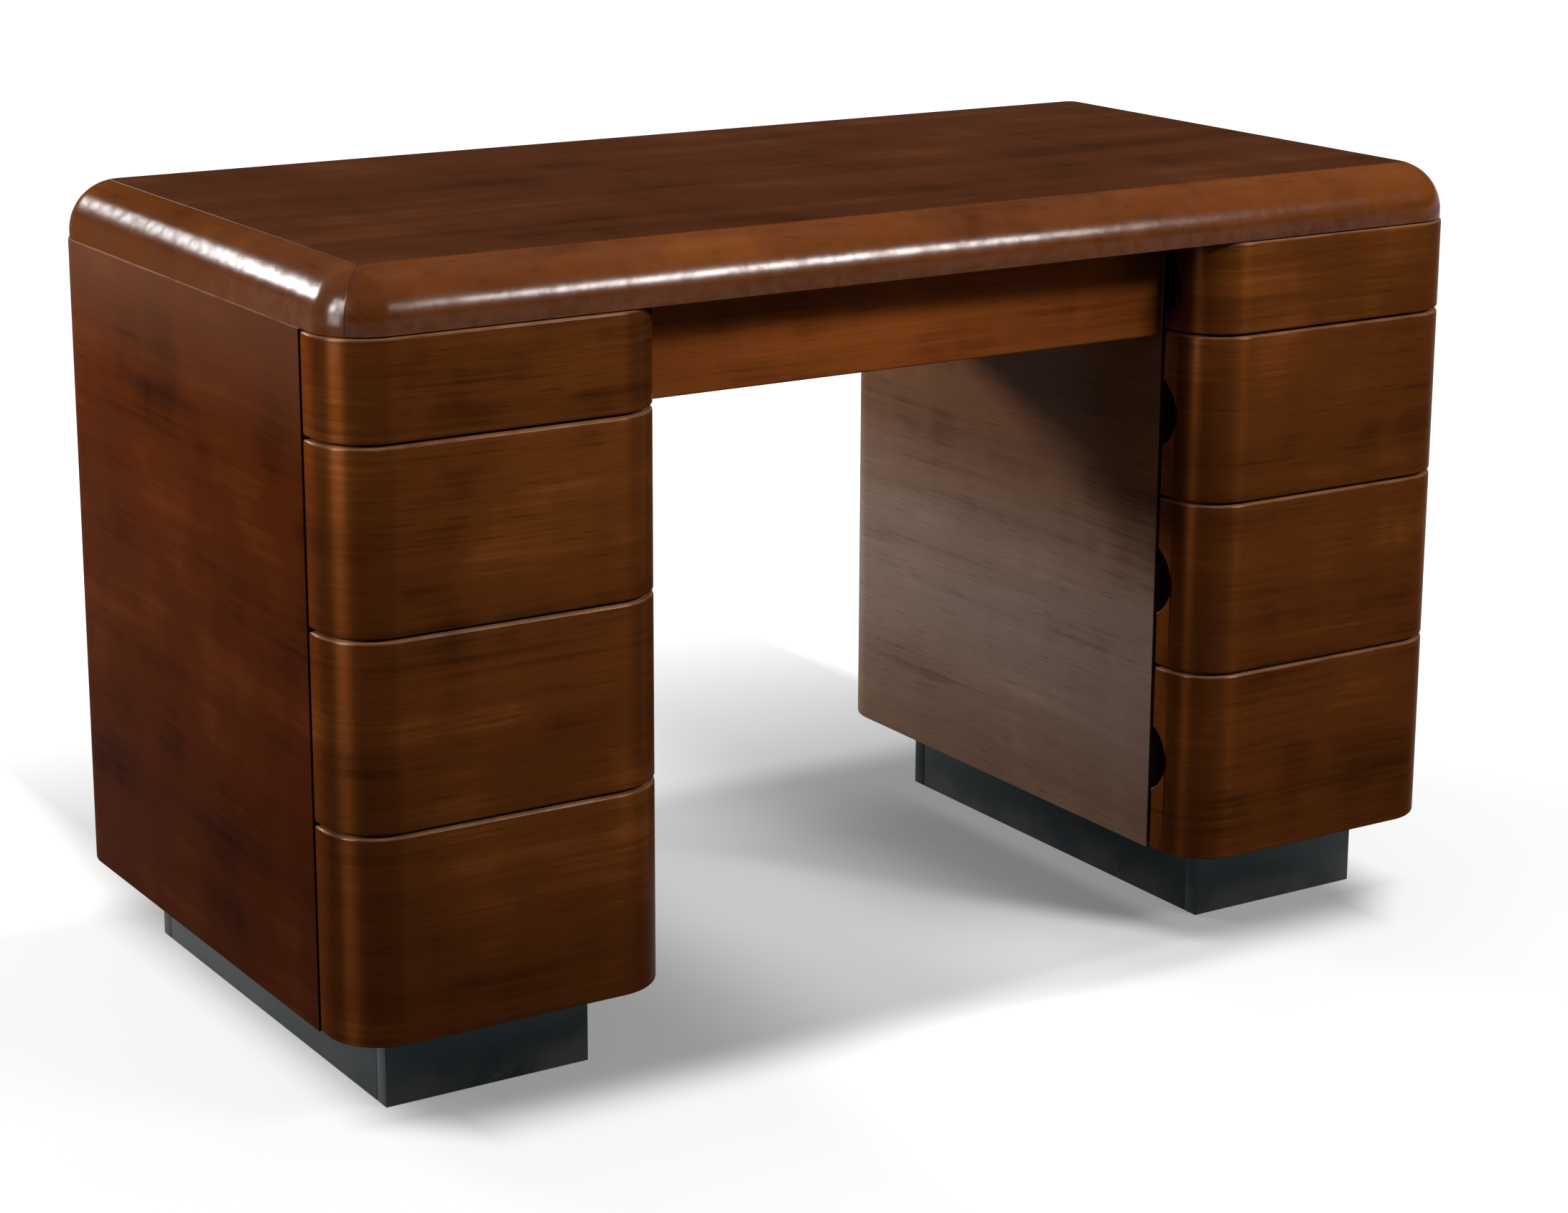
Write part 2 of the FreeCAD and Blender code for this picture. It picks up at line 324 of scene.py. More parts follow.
def makeWood(name, look):
    material, tree, shader, seen = startMaterial(name)
    place = put(tree, "Mapping", {"Vector": seen, "Location": look.get("move", (0, 0, 0)),
                                  "Rotation": tuple(math.radians(angle) for angle in look["turn"])}).outputs[0]
    grain = addGrain(tree, place, look, look["shades"])
    colour, coat = grain["Color"], None
    if "plyWear" in look:
        depth = put(tree, "Attribute", attribute_name="ply").outputs["Fac"]
        colour = useGroup(tree, plyGroup, {"Color": colour, "Ply": depth, "Wear": look["plyWear"],
                                           "Place": seen})["Color"]
    # painted light and shade that change with height
    if look.get("paintedShading"):
        colour = addHeightShading(tree, colour, seen, look["paintedShading"], look.get("paintedShadingTo", look["shades"][0]))
    # painted sheen towards the top
    if "paintedTopSheen" in look:
        colour = addHeightShading(tree, colour, seen, look["paintedTopSheen"], look["paintedTopSheenTone"])
    # partly a dull bloom, partly a painted sheen on the kneehole faces
    if "bloomAndSheen" in look:
        colour = addBloomAndSheen(tree, colour, seen, place, look)
    # painted shade on the edges that face the front
    if "frontEdgeShade" in look:
        colour = useGroup(tree, gapShadeGroup, {"Color": colour, "Facing": facingOf(tree),
                                             "Painted Shade": look["frontEdgeShade"]})["Color"]
    # pale up-facing edges: partly wear, partly a painted highlight
    if "rimCoat" in look:
        wornAndLit = useGroup(tree, rimWearAndHighlightGroup, {"Color": colour, "Place": seen, "Facing": facingOf(tree),
                                          "Wear": look["rimWearAndHighlight"], "Coat": look["coat"],
                                          "Rim Coat": look["rimCoat"], "End Coat": look["endCoat"]})
        colour, coat = wornAndLit["Color"], wornAndLit["Coat"]
    if "scratched" in look:
        coat = addScratches(tree, seen, look)
    skin = useGroup(tree, skinGroup, {"Place": place, "Fibre": grain["Fibre"], "Pore": grain["Pore"],
                                      "Dull": look["dull"], "Spread": look["spread"]})
    bump = put(tree, "Bump", {"Height": skin["Height"], "Strength": look["relief"], "Distance": bumpDepth})
    link(tree, {"Base Color": colour, "Roughness": skin["Roughness"], "Normal": bump.outputs[0]}, shader.inputs)
    shader.inputs["Specular IOR Level"].default_value = look["shine"]
    shader.inputs["Coat Weight"].default_value = look["coat"]
    shader.inputs["Coat Roughness"].default_value = look["coatDull"]
    if coat is not None:
        link(tree, {"Coat Weight": coat}, shader.inputs)
    if "fibreTint" in look:  # level fibres stretch the light up and down the bends
        shader.inputs["Metallic"].default_value = look["fibreSheen"]
        shader.inputs["Specular Tint"].default_value = look["fibreTint"]
        shader.inputs["Anisotropic"].default_value = look["fibreStretch"]
        upright = put(tree, "CombineXYZ", {"Z": 1.0}).outputs[0]
        link(tree, {"Tangent": upright}, shader.inputs)
    return material


print("node groups made")


# helpers for pieces
near = 1e-5  # metres between points that count as one place
weld = 1e-6  # metres between points that are merged
smoothAngle = 32.0  # degrees; flatter edges are shaded smooth
sharpAngle = 50.0  # degrees; steeper edges are eased


def pick(geometry, kind):
    return [item for item in geometry if isinstance(item, kind)]


def finishMesh(name, bm, plyDepth=None):
    bmesh.ops.remove_doubles(bm, verts=bm.verts, dist=weld)
    bmesh.ops.recalc_face_normals(bm, faces=bm.faces)
    if plyDepth:
        layer = bm.verts.layers.float.new("ply")
        for vert in bm.verts:
            vert[layer] = plyDepth(vert.co)
    for face in bm.faces:
        face.smooth = True
    for edge in bm.edges:
        edge.smooth = len(edge.link_faces) == 2 and edge.calc_face_angle(0.0) < math.radians(smoothAngle)
    mesh = bpy.data.meshes.new(name)
    bm.to_mesh(mesh)
    bm.free()
    piece = bpy.data.objects.new(name, mesh)
    scene.collection.objects.link(piece)
    return piece


def settle(piece, body, node, material):
    piece.data.materials.append(material)
    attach(piece, body)
    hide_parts(node)


def dress(node, material):
    # a CAD node that keeps its shape
    nodes[node].data.materials.clear()
    nodes[node].data.materials.append(material)


def bevelEdges(bm, edges, width, steps):
    bmesh.ops.bevel(bm, geom=list(edges), offset=width, offset_type="OFFSET", segments=steps, profile=0.5,
                    affect="EDGES", material=-1, clamp_overlap=False)


def sharpEdges(bm, angle=sharpAngle):
    return [e for e in bm.edges if len(e.link_faces) == 2 and e.calc_face_angle(0.0) > math.radians(angle)]


def easeEdges(bm, width, steps):
    # the pieces give their easing as these two, width in metres and steps
    bevelEdges(bm, sharpEdges(bm), width, steps)


def addBoard(bm, low, high):
    made = bmesh.ops.create_cube(bm, size=1.0)["verts"]
    bmesh.ops.scale(bm, vec=high - low, verts=made)
    bmesh.ops.translate(bm, vec=(low + high) / 2, verts=made)


def addPair(bm, low, high, axis, thick):
    # two boards, at the two ends of a box along one axis
    nearEnd, farEnd = Vector(high), Vector(low)
    nearEnd[axis] = low[axis] + thick
    farEnd[axis] = high[axis] - thick
    addBoard(bm, low, nearEnd)
    addBoard(bm, farEnd, high)


def makeBoard(name, node, easing, plyDepth=None):
    bm = bmesh.new()
    addBoard(bm, *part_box(node))
    easeEdges(bm, *easing)
    return finishMesh(name, bm, plyDepth)


def fullBox(names):
    boxes = [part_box(name) for name in names]
    low = Vector([min(box[0][i] for box in boxes) for i in range(3)])
    high = Vector([max(box[1][i] for box in boxes) for i in range(3)])
    return low, high


# top: one rounded slab, cut into a veneered field and four mitred edge mouldings
topLook = {"cornerRadius": 0.0505, "edgeRadius": 0.048, "steps": 22, "border": 0.040, "seam": (0.0004, 1),
           "seamAngle": 25.0}
fieldLook = {"turn": (90, 0, 0), "shades": (paint(44, 22, 11), paint(69, 37, 20), paint(93, 53, 30)),
             "ribbon": 0.36, "clouds": 0.3, "pores": 0.35, "dull": 0.36, "spread": 0.12, "relief": 0.15,
             "shine": 0.0, "coat": 0.04, "coatDull": 0.2}
# painted shade: the edge mouldings darken low down on their rounding
edgeLook = {"shades": (paint(66, 29, 7), paint(104, 53, 15), paint(132, 73, 25)),
            "ribbon": 0.5, "clouds": 0.3, "pores": 0.35, "dull": 0.30, "spread": 0.10, "relief": 0.10,
            "shine": 0.0, "coat": 0.40, "coatDull": 0.2, "scratched": 0.5, "paintedShading": (0.694, 0.724, 0.5, 0.0)}
# painted light: the left moulding goes lighter low down on its rounding, below its highlight
leftEdgeLook = dict(edgeLook, shades=(paint(56, 25, 8), paint(90, 46, 16), paint(116, 64, 26)),
                    paintedShading=(0.700, 0.730, 0.65, 0.0), paintedShadingTo=paint(114, 63, 30),
                    rubbed={"rear": (-0.25, 0.06, 1.0, 0.3), "low": (0.1, 0.5, 0.4, 1.0)})
edgeTurns = {"front": (-45, 0, 0), "back": (45, 0, 0), "left": (0, 45, 0), "right": (0, -45, 0)}
topSides = ("front", "right", "back", "left")
topLow, topHigh = fullBox(["top_field_panel"] + ["top_edge_" + side for side in topSides])


def makeSlab():
    # the edge's profile, drawn at the front left corner and swept once round the top
    corner, edge, steps = topLook["cornerRadius"], topLook["edgeRadius"], topLook["steps"]
    low, high = topLow, topHigh
    left, right, front, back = low.x + corner, high.x - corner, low.y + corner, high.y - corner
    bm = bmesh.new()
    foot = bm.verts.new((left, low.y, low.z))
    tip = bmesh.ops.extrude_vert_indiv(bm, verts=[foot])["verts"]
    bmesh.ops.translate(bm, vec=(0, 0, high.z - low.z - edge), verts=tip)
    bmesh.ops.spin(bm, geom=tip, cent=(left, low.y + edge, high.z - edge), axis=(1, 0, 0), angle=-math.pi / 2,
                   steps=steps, use_duplicate=False)
    end = list(bm.edges)
    route = (((right - left, 0, 0), (right, front, 0)), ((0, back - front, 0), (right, back, 0)),
             ((left - right, 0, 0), (left, back, 0)), ((0, front - back, 0), (left, front, 0)))
    for step, centre in route:
        made = bmesh.ops.extrude_edge_only(bm, edges=end)["geom"]
        points, lines = pick(made, bmesh.types.BMVert), pick(made, bmesh.types.BMEdge)
        bmesh.ops.translate(bm, vec=step, verts=points)
        made = bmesh.ops.spin(bm, geom=points + lines, cent=centre, axis=(0, 0, 1), angle=math.pi / 2, steps=steps,
                              use_duplicate=False)
        end = pick(made["geom_last"], bmesh.types.BMEdge)
    bmesh.ops.remove_doubles(bm, verts=bm.verts, dist=near)
    bmesh.ops.holes_fill(bm, edges=[e for e in bm.edges if e.is_boundary], sides=0)
    bmesh.ops.recalc_face_normals(bm, faces=bm.faces)
    return bm


def cutAway(bm, point, outward):
    made = bmesh.ops.bisect_plane(bm, geom=bm.verts[:] + bm.edges[:] + bm.faces[:], plane_co=point,
                                  plane_no=outward, clear_outer=True, dist=weld)
    bmesh.ops.contextual_create(bm, geom=pick(made["geom_cut"], bmesh.types.BMEdge))


def easeSeams(bm, planes):
    def onPlane(vert):
        return any(abs((vert.co - point).dot(outward)) < near for point, outward in planes)
    seams = [e for e in sharpEdges(bm, topLook["seamAngle"])
             if all(onPlane(v) for v in e.verts) and max(v.co.z for v in e.verts) > topLow.z + near]
    bevelEdges(bm, seams, *topLook["seam"])


def makeTop():
    low, high = topLow, topHigh
    border = Vector((topLook["border"], topLook["border"], 0))
    around = {"front": (low + border, Vector((0, -1, 0))), "back": (high - border, Vector((0, 1, 0))),
              "left": (low + border, Vector((-1, 0, 0))), "right": (high - border, Vector((1, 0, 0)))}
    slab = makeSlab()
    bm = slab.copy()
    for point, outward in around.values():
        cutAway(bm, point, outward)
    easeSeams(bm, around.values())
    settle(finishMesh("topField", bm), "desk", "top_field_panel", makeWood("walnutField", fieldLook))

    corners = {"frontLeft": Vector((low.x, low.y, 0)), "frontRight": Vector((high.x, low.y, 0)),
               "backLeft": Vector((low.x, high.y, 0)), "backRight": Vector((high.x, high.y, 0))}
    slant = math.sqrt(0.5)
    mitres = {"front": (("frontLeft", (-slant, slant, 0)), ("frontRight", (slant, slant, 0))),
              "back": (("backLeft", (-slant, -slant, 0)), ("backRight", (slant, -slant, 0))),
              "left": (("frontLeft", (slant, -slant, 0)), ("backLeft", (slant, slant, 0))),
              "right": (("frontRight", (-slant, -slant, 0)), ("backRight", (-slant, slant, 0)))}
    for side in topSides:
        bm = slab.copy()
        point, outward = around[side]
        planes = [(point, -outward)] + [(corners[corner], Vector(away)) for corner, away in mitres[side]]
        for point, outward in planes:
            cutAway(bm, point, outward)
        easeSeams(bm, planes)
        piece = finishMesh("topEdge_" + side, bm)
        look = dict(leftEdgeLook if side == "left" else edgeLook, turn=edgeTurns[side])
        settle(piece, "desk", "top_edge_" + side, makeWood("walnutEdge_" + side, look))
    slab.free()


makeTop()
print("top made")


# bent plywood: side panels of the pedestals and drawer fronts
bendLook = {"radius": 0.052, "steps": 16}


def startStrip(bm, xRange, y, zRange):
    corners = [(xRange[0], zRange[0]), (xRange[1], zRange[0]), (xRange[1], zRange[1]), (xRange[0], zRange[1])]
    return [bm.faces.new([bm.verts.new((x, y, z)) for x, z in corners])]


def runStrip(bm, end, step):
    made = bmesh.ops.extrude_face_region(bm, geom=end)["geom"]
    bmesh.ops.translate(bm, vec=step, verts=pick(made, bmesh.types.BMVert))
    return pick(made, bmesh.types.BMFace)


def turnStrip(bm, end, centre, angle):
    made = bmesh.ops.spin(bm, geom=end, cent=centre, axis=(0, 0, 1), angle=math.radians(angle),
                          steps=bendLook["steps"], use_duplicate=False)
    bmesh.ops.delete(bm, geom=end, context="FACES_ONLY")
    return pick(made["geom_last"], bmesh.types.BMFace)


def depthFrom(low, high, wall, openFront):
    # share of the wall's thickness, 0 on the outer face and 1 on the inner face
    radius = bendLook["radius"]
    reach = 1.0  # the open end is taken as far away
    y0, y1 = (low.y, high.y + reach) if openFront else (low.y - reach, high.y)
    middle = Vector(((low.x + high.x) / 2, (y0 + y1) / 2))
    half = Vector(((high.x - low.x) / 2 - radius, (y1 - y0) / 2 - radius))

    def depth(point):
        past = Vector((abs(point.x - middle.x) - half.x, abs(point.y - middle.y) - half.y))
        outside = Vector((max(past.x, 0), max(past.y, 0))).length
        return min(max((radius - outside - min(max(past.x, past.y), 0)) / wall, 0.0), 1.0)
    return depth


panelCut = {"wall": 0.016, "ease": (0.0012, 2), "backEase": (0.0005, 2), "railEase": (0.0015, 2)}
# painted shade: the panels, and the kneehole faces that copy them, darken towards the bottom
panelLook = {"turn": (0, 0, 0), "shades": (paint(48, 16, 2), paint(88, 37, 7), paint(110, 53, 20)),
             "ribbon": 0.35, "clouds": 0.45, "pores": 0.35, "dull": 0.42, "spread": 0.12, "relief": 0.1,
             "shine": 0.0, "coat": 0.03, "coatDull": 0.25, "rimCoat": 0.6, "endCoat": 0.0, "rimWearAndHighlight": 0.95,
             # painted sheen: the panels go paler and greyer towards the top, a painted reflection
             "plyWear": 0.8, "paintedShading": (0.08, 0.66, 0.4, 0.0), "paintedTopSheen": (0.56, 0.70, 0.0, 0.45),
             "paintedTopSheenTone": paint(118, 78, 56), "frontEdgeShade": paint(9, 6, 4)}
# partly a dull bloom, partly a painted sheen, greyest at middle height
innerLook = dict(panelLook, coat=0.12, ribbon=0.4, clouds=0.15, pores=0.5, move=(0.0, 0.42, 0.33),
                 bloomAndSheen={"warm": (paint(80, 50, 30), paint(124, 84, 56), paint(146, 104, 74)),
                        "greySheen": (paint(102, 78, 64), paint(157, 133, 119), paint(180, 154, 139)),
                        "edge": (0.292, 0.322, 1.0, 0.0), "foot": (0.08, 0.26, 0.4, 1.0),
                        "head": (0.26, 0.48, 1.0, 0.0)})
panelVeneer = makeWood("panelVeneer", panelLook)
innerVeneer = makeWood("kneeholeVeneer", innerLook)


def makeSidePanels(hand):
    radius, wall = bendLook["radius"], panelCut["wall"]
    shellLow, shellHigh = fullBox([hand + "_outer_side", hand + "_inner_side"])
    depth = depthFrom(shellLow, shellHigh, wall, False)
    for part, label, veneer in (("outer_side", "OuterSide", panelVeneer), ("inner_side", "InnerSide", innerVeneer)):
        node = hand + "_" + part
        low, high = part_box(node)
        onLeft = low.x < shellLow.x + near
        xRange = (low.x, low.x + wall) if onLeft else (high.x - wall, high.x)
        bm = bmesh.new()
        end = startStrip(bm, xRange, low.y, (low.z, high.z))
        end = runStrip(bm, end, (0, high.y - radius - low.y, 0))
        centre = (low.x + radius if onLeft else high.x - radius, high.y - radius, 0)
        turnStrip(bm, end, centre, -90 if onLeft else 90)
        bmesh.ops.recalc_face_normals(bm, faces=bm.faces)
        easeEdges(bm, *panelCut["ease"])
        settle(finishMesh(hand + label, bm, depth), "desk", node, veneer)
    node = hand + "_back_panel"
    piece = makeBoard(hand + "BackPanel", node, panelCut["backEase"], depth)
    settle(piece, "desk", node, panelVeneer)


for hand in hands:
    makeSidePanels(hand)
backRail = makeBoard("kneeholeBackRail", "kneehole_back_rail", panelCut["railEase"])
settle(backRail, "desk", "kneehole_back_rail", panelVeneer)
print("side panels made")


# drawer fronts with the half-moon finger notch
frontCut = {"wall": 0.018, "ease": (0.0025, 3), "notchLength": 0.064, "notchDepth": 0.020, "notchSteps": 96,
            "cutterLength": 0.06, "cutterInset": 0.02}
# painted shade: the drawer fronts darken towards the bottom, the right fronts less so
frontLook = {"turn": (0, 0, 0), "shades": (paint(36, 16, 5), paint(82, 42, 14), paint(116, 64, 26)),
             "ribbon": 0.36, "clouds": 0.4, "pores": 0.4, "dull": 0.5, "spread": 0.06, "relief": 0.06,
             "shine": 0.0, "fibreSheen": 0.15, "fibreTint": (1.0, 0.5, 0.2, 1.0), "fibreStretch": 0.9,
             "coat": 0.01, "coatDull": 0.2, "rimCoat": 0.12, "endCoat": 0.16, "rimWearAndHighlight": 0.32, "plyWear": 0.8,
             "paintedShading": (0.08, 0.60, 0.5, 0.0)}
rightFrontLook = dict(frontLook, clouds=0.3, paintedShading=(0.08, 0.60, 0.1, 0.0), move=(0.3, 0.0, 0.21))
# painted light: the centre front gets lighter shades than the other fronts, making up for the shade under the top
centreFrontLitLook = dict(frontLook, shades=(paint(58, 27, 9), paint(114, 59, 23), paint(142, 83, 38)), clouds=0.3,
                       paintedShading=None)
frontVeneers = {"left": makeWood("drawerFrontVeneerLeft", frontLook),
                "right": makeWood("drawerFrontVeneerRight", rightFrontLook)}
centreLitVeneer = makeWood("centreFrontLitVeneer", centreFrontLitLook)


def cutNotch(piece, low, high, onRight):
    length, depth, inset = frontCut["notchLength"], frontCut["notchDepth"], frontCut["cutterInset"]
    radius = (length**2 / 4 + depth**2) / (2 * depth)
    bm = bmesh.new()
    bmesh.ops.create_cone(bm, cap_ends=True, segments=frontCut["notchSteps"], radius1=radius, radius2=radius,
                          depth=frontCut["cutterLength"])
    bmesh.ops.rotate(bm, verts=bm.verts, cent=(0, 0, 0), matrix=Matrix.Rotation(math.pi / 2, 3, "Y"))
    side = high.x - inset if onRight else low.x + inset
    bmesh.ops.translate(bm, verts=bm.verts, vec=(side, high.y - depth + radius, (low.z + high.z) / 2))
    cutter = finishMesh("notchCutter", bm)
    change = piece.modifiers.new("notch", "BOOLEAN")
    change.operation = "DIFFERENCE"
    change.solver = "EXACT"
    change.object = cutter
    bpy.context.view_layer.update()
    mesh = bpy.data.meshes.new_from_object(piece.evaluated_get(bpy.context.evaluated_depsgraph_get()))
    bm = bmesh.new()
    bm.from_mesh(mesh)
    bpy.data.meshes.remove(mesh)
    bpy.data.objects.remove(cutter)
    bpy.data.objects.remove(piece)
    return bm


def makeFront(hand, number):
    node = f"{hand}_drawer_{number}_front"
    low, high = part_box(node)
    wall, radius = frontCut["wall"], bendLook["radius"]
    bm = bmesh.new()
    end = startStrip(bm, (low.x, low.x + wall), high.y, (low.z, high.z))
    end = runStrip(bm, end, (0, low.y + radius - high.y, 0))
    end = turnStrip(bm, end, (low.x + radius, low.y + radius, 0), 90)
    end = runStrip(bm, end, (high.x - low.x - 2 * radius, 0, 0))
    end = turnStrip(bm, end, (high.x - radius, low.y + radius, 0), 90)
    runStrip(bm, end, (0, high.y - low.y - radius, 0))
    inside = [f for f in bm.faces if all(len(e.link_faces) > 2 for e in f.edges)]  # left between runs and bends
    bmesh.ops.delete(bm, geom=inside, context="FACES_ONLY")
    bmesh.ops.recalc_face_normals(bm, faces=bm.faces)
    bm = cutNotch(finishMesh("frontBlank", bm), low, high, hand == "left")
    bmesh.ops.remove_doubles(bm, verts=bm.verts, dist=weld)
    easeEdges(bm, *frontCut["ease"])
    piece = finishMesh(f"{hand}Drawer{number}Front", bm, depthFrom(low, high, wall, True))
    settle(piece, f"{hand}_drawer_{number}", node, frontVeneers[hand])


for hand in hands:
    for number in drawerNumbers:
        makeFront(hand, number)
centreFront = makeBoard("centreDrawerFront", "centre_drawer_front", frontCut["ease"])
settle(centreFront, "centre_drawer", "centre_drawer_front", centreLitVeneer)
print("drawer fronts made")


# drawer boxes: sides with rounded upper edges, and backs; the bottoms keep their shape
boxCut = {"side": 0.011, "round": (0.0045, 4), "ease": (0.0006, 1), "slant": 0.0047, "longEdge": 0.02}
liningLook = {"turn": (0, 0, 0), "shades": (paint(122, 84, 50), paint(164, 122, 80), paint(190, 150, 104)),
              "ribbon": 0.6, "clouds": 0.3, "pores": 0.35, "dull": 0.5, "spread": 0.1, "relief": 0.4,
              "shine": 0.4, "coat": 0.0, "coatDull": 0.3}
liningWood = makeWood("drawerLining", liningLook)
liningFlat = makeWood("drawerLiningFlat", dict(liningLook, turn=(0, 90, 0)))


def makeBoxWalls(drawer, part, label, longAxis):
    node = drawer + "_" + part
    low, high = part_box(node)
    bm = bmesh.new()
    if part == "sides":
        addPair(bm, low, high, 0, boxCut["side"])
        if drawer != "centre_drawer":  # the front ends follow the bend of the drawer front
            outer = [v for v in bm.verts
                     if v.co.y < low.y + near and min(v.co.x - low.x, high.x - v.co.x) < near]
            bmesh.ops.translate(bm, vec=(0, boxCut["slant"], 0), verts=outer)
    else:
        addBoard(bm, low, high)
    upper = [e for e in bm.edges if all(v.co.z > high.z - near for v in e.verts)
             and abs(e.verts[0].co[longAxis] - e.verts[1].co[longAxis]) > boxCut["longEdge"]]
    bevelEdges(bm, upper, *boxCut["round"])
    easeEdges(bm, *boxCut["ease"])
    name = drawer.replace("_drawer", "Drawer").replace("_", "") + label
    settle(finishMesh(name, bm), drawer, node, liningWood)


drawers = [f"{hand}_drawer_{number}" for hand in hands for number in drawerNumbers] + ["centre_drawer"]
for drawer in drawers:
    makeBoxWalls(drawer, "sides", "Sides", 1)
    makeBoxWalls(drawer, "back", "Back", 0)
    dress(drawer + "_bottom", liningFlat)
print("drawer boxes made")


# painted plinths
plinthCut = {"board": 0.018, "ease": (0.0012, 2)}
plinthLook = {"body": paint(4, 14, 19), "lighter": 1.7, "scuff": paint(58, 56, 50), "dust": paint(70, 64, 54),
              "dull": 0.42, "spread": 0.2, "shine": 0.26, "sheenTint": (0.72, 0.95, 1.0, 1.0), "relief": 0.25,
              "brush": {"stretch": (14.0, 14.0, 420.0), "detail": 3.0},
              "patch": {"scale": 14.0, "detail": 4.0, "roughness": 0.6}, "lighterPatch": (0.3, 0.7),
              "chips": {"scale": 130.0, "detail": 4.0, "roughness": 0.7, "between": (0.54, 0.64)},
              "chipped": (0.0, 0.022, 0.5, 0.0), "dusty": (0.004, 0.05, 0.5, 0.0), "dustyPatch": (0.3, 0.6)}


def makePaint(name, look):
    material, tree, shader, seen = startMaterial(name)
    height = axesOf(tree, seen)["Z"]
    brush, patch, chips = (pattern(tree, seen, **look[part]) for part in ("brush", "patch", "chips"))
    lighter = tuple(part * look["lighter"] for part in look["body"][:3]) + (1.0,)
    colour = tint(tree, ease(tree, patch, *look["lighterPatch"]), look["body"], lighter)
    dusty = times(tree, ease(tree, height, *look["dusty"]), ease(tree, patch, *look["dustyPatch"]))
    colour = tint(tree, dusty, colour, look["dust"])
    colour = tint(tree, times(tree, chips, ease(tree, height, *look["chipped"])), colour, look["scuff"])
    rough = sums(tree, "ADD", swing(tree, patch, look["spread"]), look["dull"])
    bump = put(tree, "Bump", {"Height": brush, "Strength": look["relief"], "Distance": bumpDepth})
    link(tree, {"Base Color": colour, "Roughness": rough, "Normal": bump.outputs[0]}, shader.inputs)
    shader.inputs["Specular IOR Level"].default_value = look["shine"]
    shader.inputs["Specular Tint"].default_value = look["sheenTint"]
    return material


plinthPaint = makePaint("plinthPaint", plinthLook)
for hand in hands:
    for part, label, axis in (("plinth_ends", "PlinthEnds", 1), ("plinth_sides", "PlinthSides", 0)):
        node = hand + "_" + part
        bm = bmesh.new()
        addPair(bm, *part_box(node), axis, plinthCut["board"])
        easeEdges(bm, *plinthCut["ease"])
        settle(finishMesh(hand + label, bm), "desk", node, plinthPaint)
print("plinths made")


# plain framing that keeps its shape
frameLook = dict(liningLook, shades=(paint(104, 70, 42), paint(142, 104, 68), paint(168, 130, 90)), dull=0.62)
frameWood = makeWood("frameWood", frameLook)
frameFlat = makeWood("frameWoodFlat", dict(frameLook, turn=(0, 90, 0)))
dress("drawer_stops", frameFlat)
dress("centre_runners", frameWood)
for hand in hands:
    dress(hand + "_base_board", frameFlat)
    dress(hand + "_top_rails", frameFlat)
    dress(hand + "_runners", frameWood)
print("framing dressed")


# floor, lit evenly so that shadows stay pale; it glows a little more the farther it is from the desk, so its lower
# glow under and beside the desk is painted shade
floorLook = {"size": 400.0, "albedo": (0.17, 0.17, 0.17, 1.0), "specks": (0.16745, 0.16745, 0.16745, 1.0),
             "speck": {"scale": 3.0, "detail": 3.0, "between": (0.3, 0.7)}, "bounce": (0.08, 0.08, 0.08, 1.0),
             "half": 0.50, "front": -0.28, "rear": 0.30, "rearShare": 0.12, "middle": (0.02, 0.27, 0.44, 0.22),
             "near": (0.0, 0.11, 0.0, 0.57), "far": (0.11, 1.4, 0.0, 0.2), "behind": (0.30, 0.40, 0.0, 0.2)}
# in the kneehole, painted light and shadow: the floor glows more where light from the front right would fall, up to
# a painted slanting shadow of the right pedestal, and less inside that shadow
kneeholePaintedLight = {"slant": (0.85, 0.53), "lit": (0.08, 0.14, 1.0, 0.0), "litFrom": (0.0, 0.2, 0.0, 0.25),
                 "litTo": (0.28, 0.38, 1.0, 0.0), "litFront": (-0.35, -0.30, 0.0, 1.0),
                 "litBack": (-0.27, -0.02, 1.0, 0.0), "paintedShadow": (0.08, 0.14, 0.0, 0.08),
                 "shadowTo": (0.29, 0.33, 1.0, 0.0), "shadowBack": (0.10, 0.30, 1.0, 0.0)}


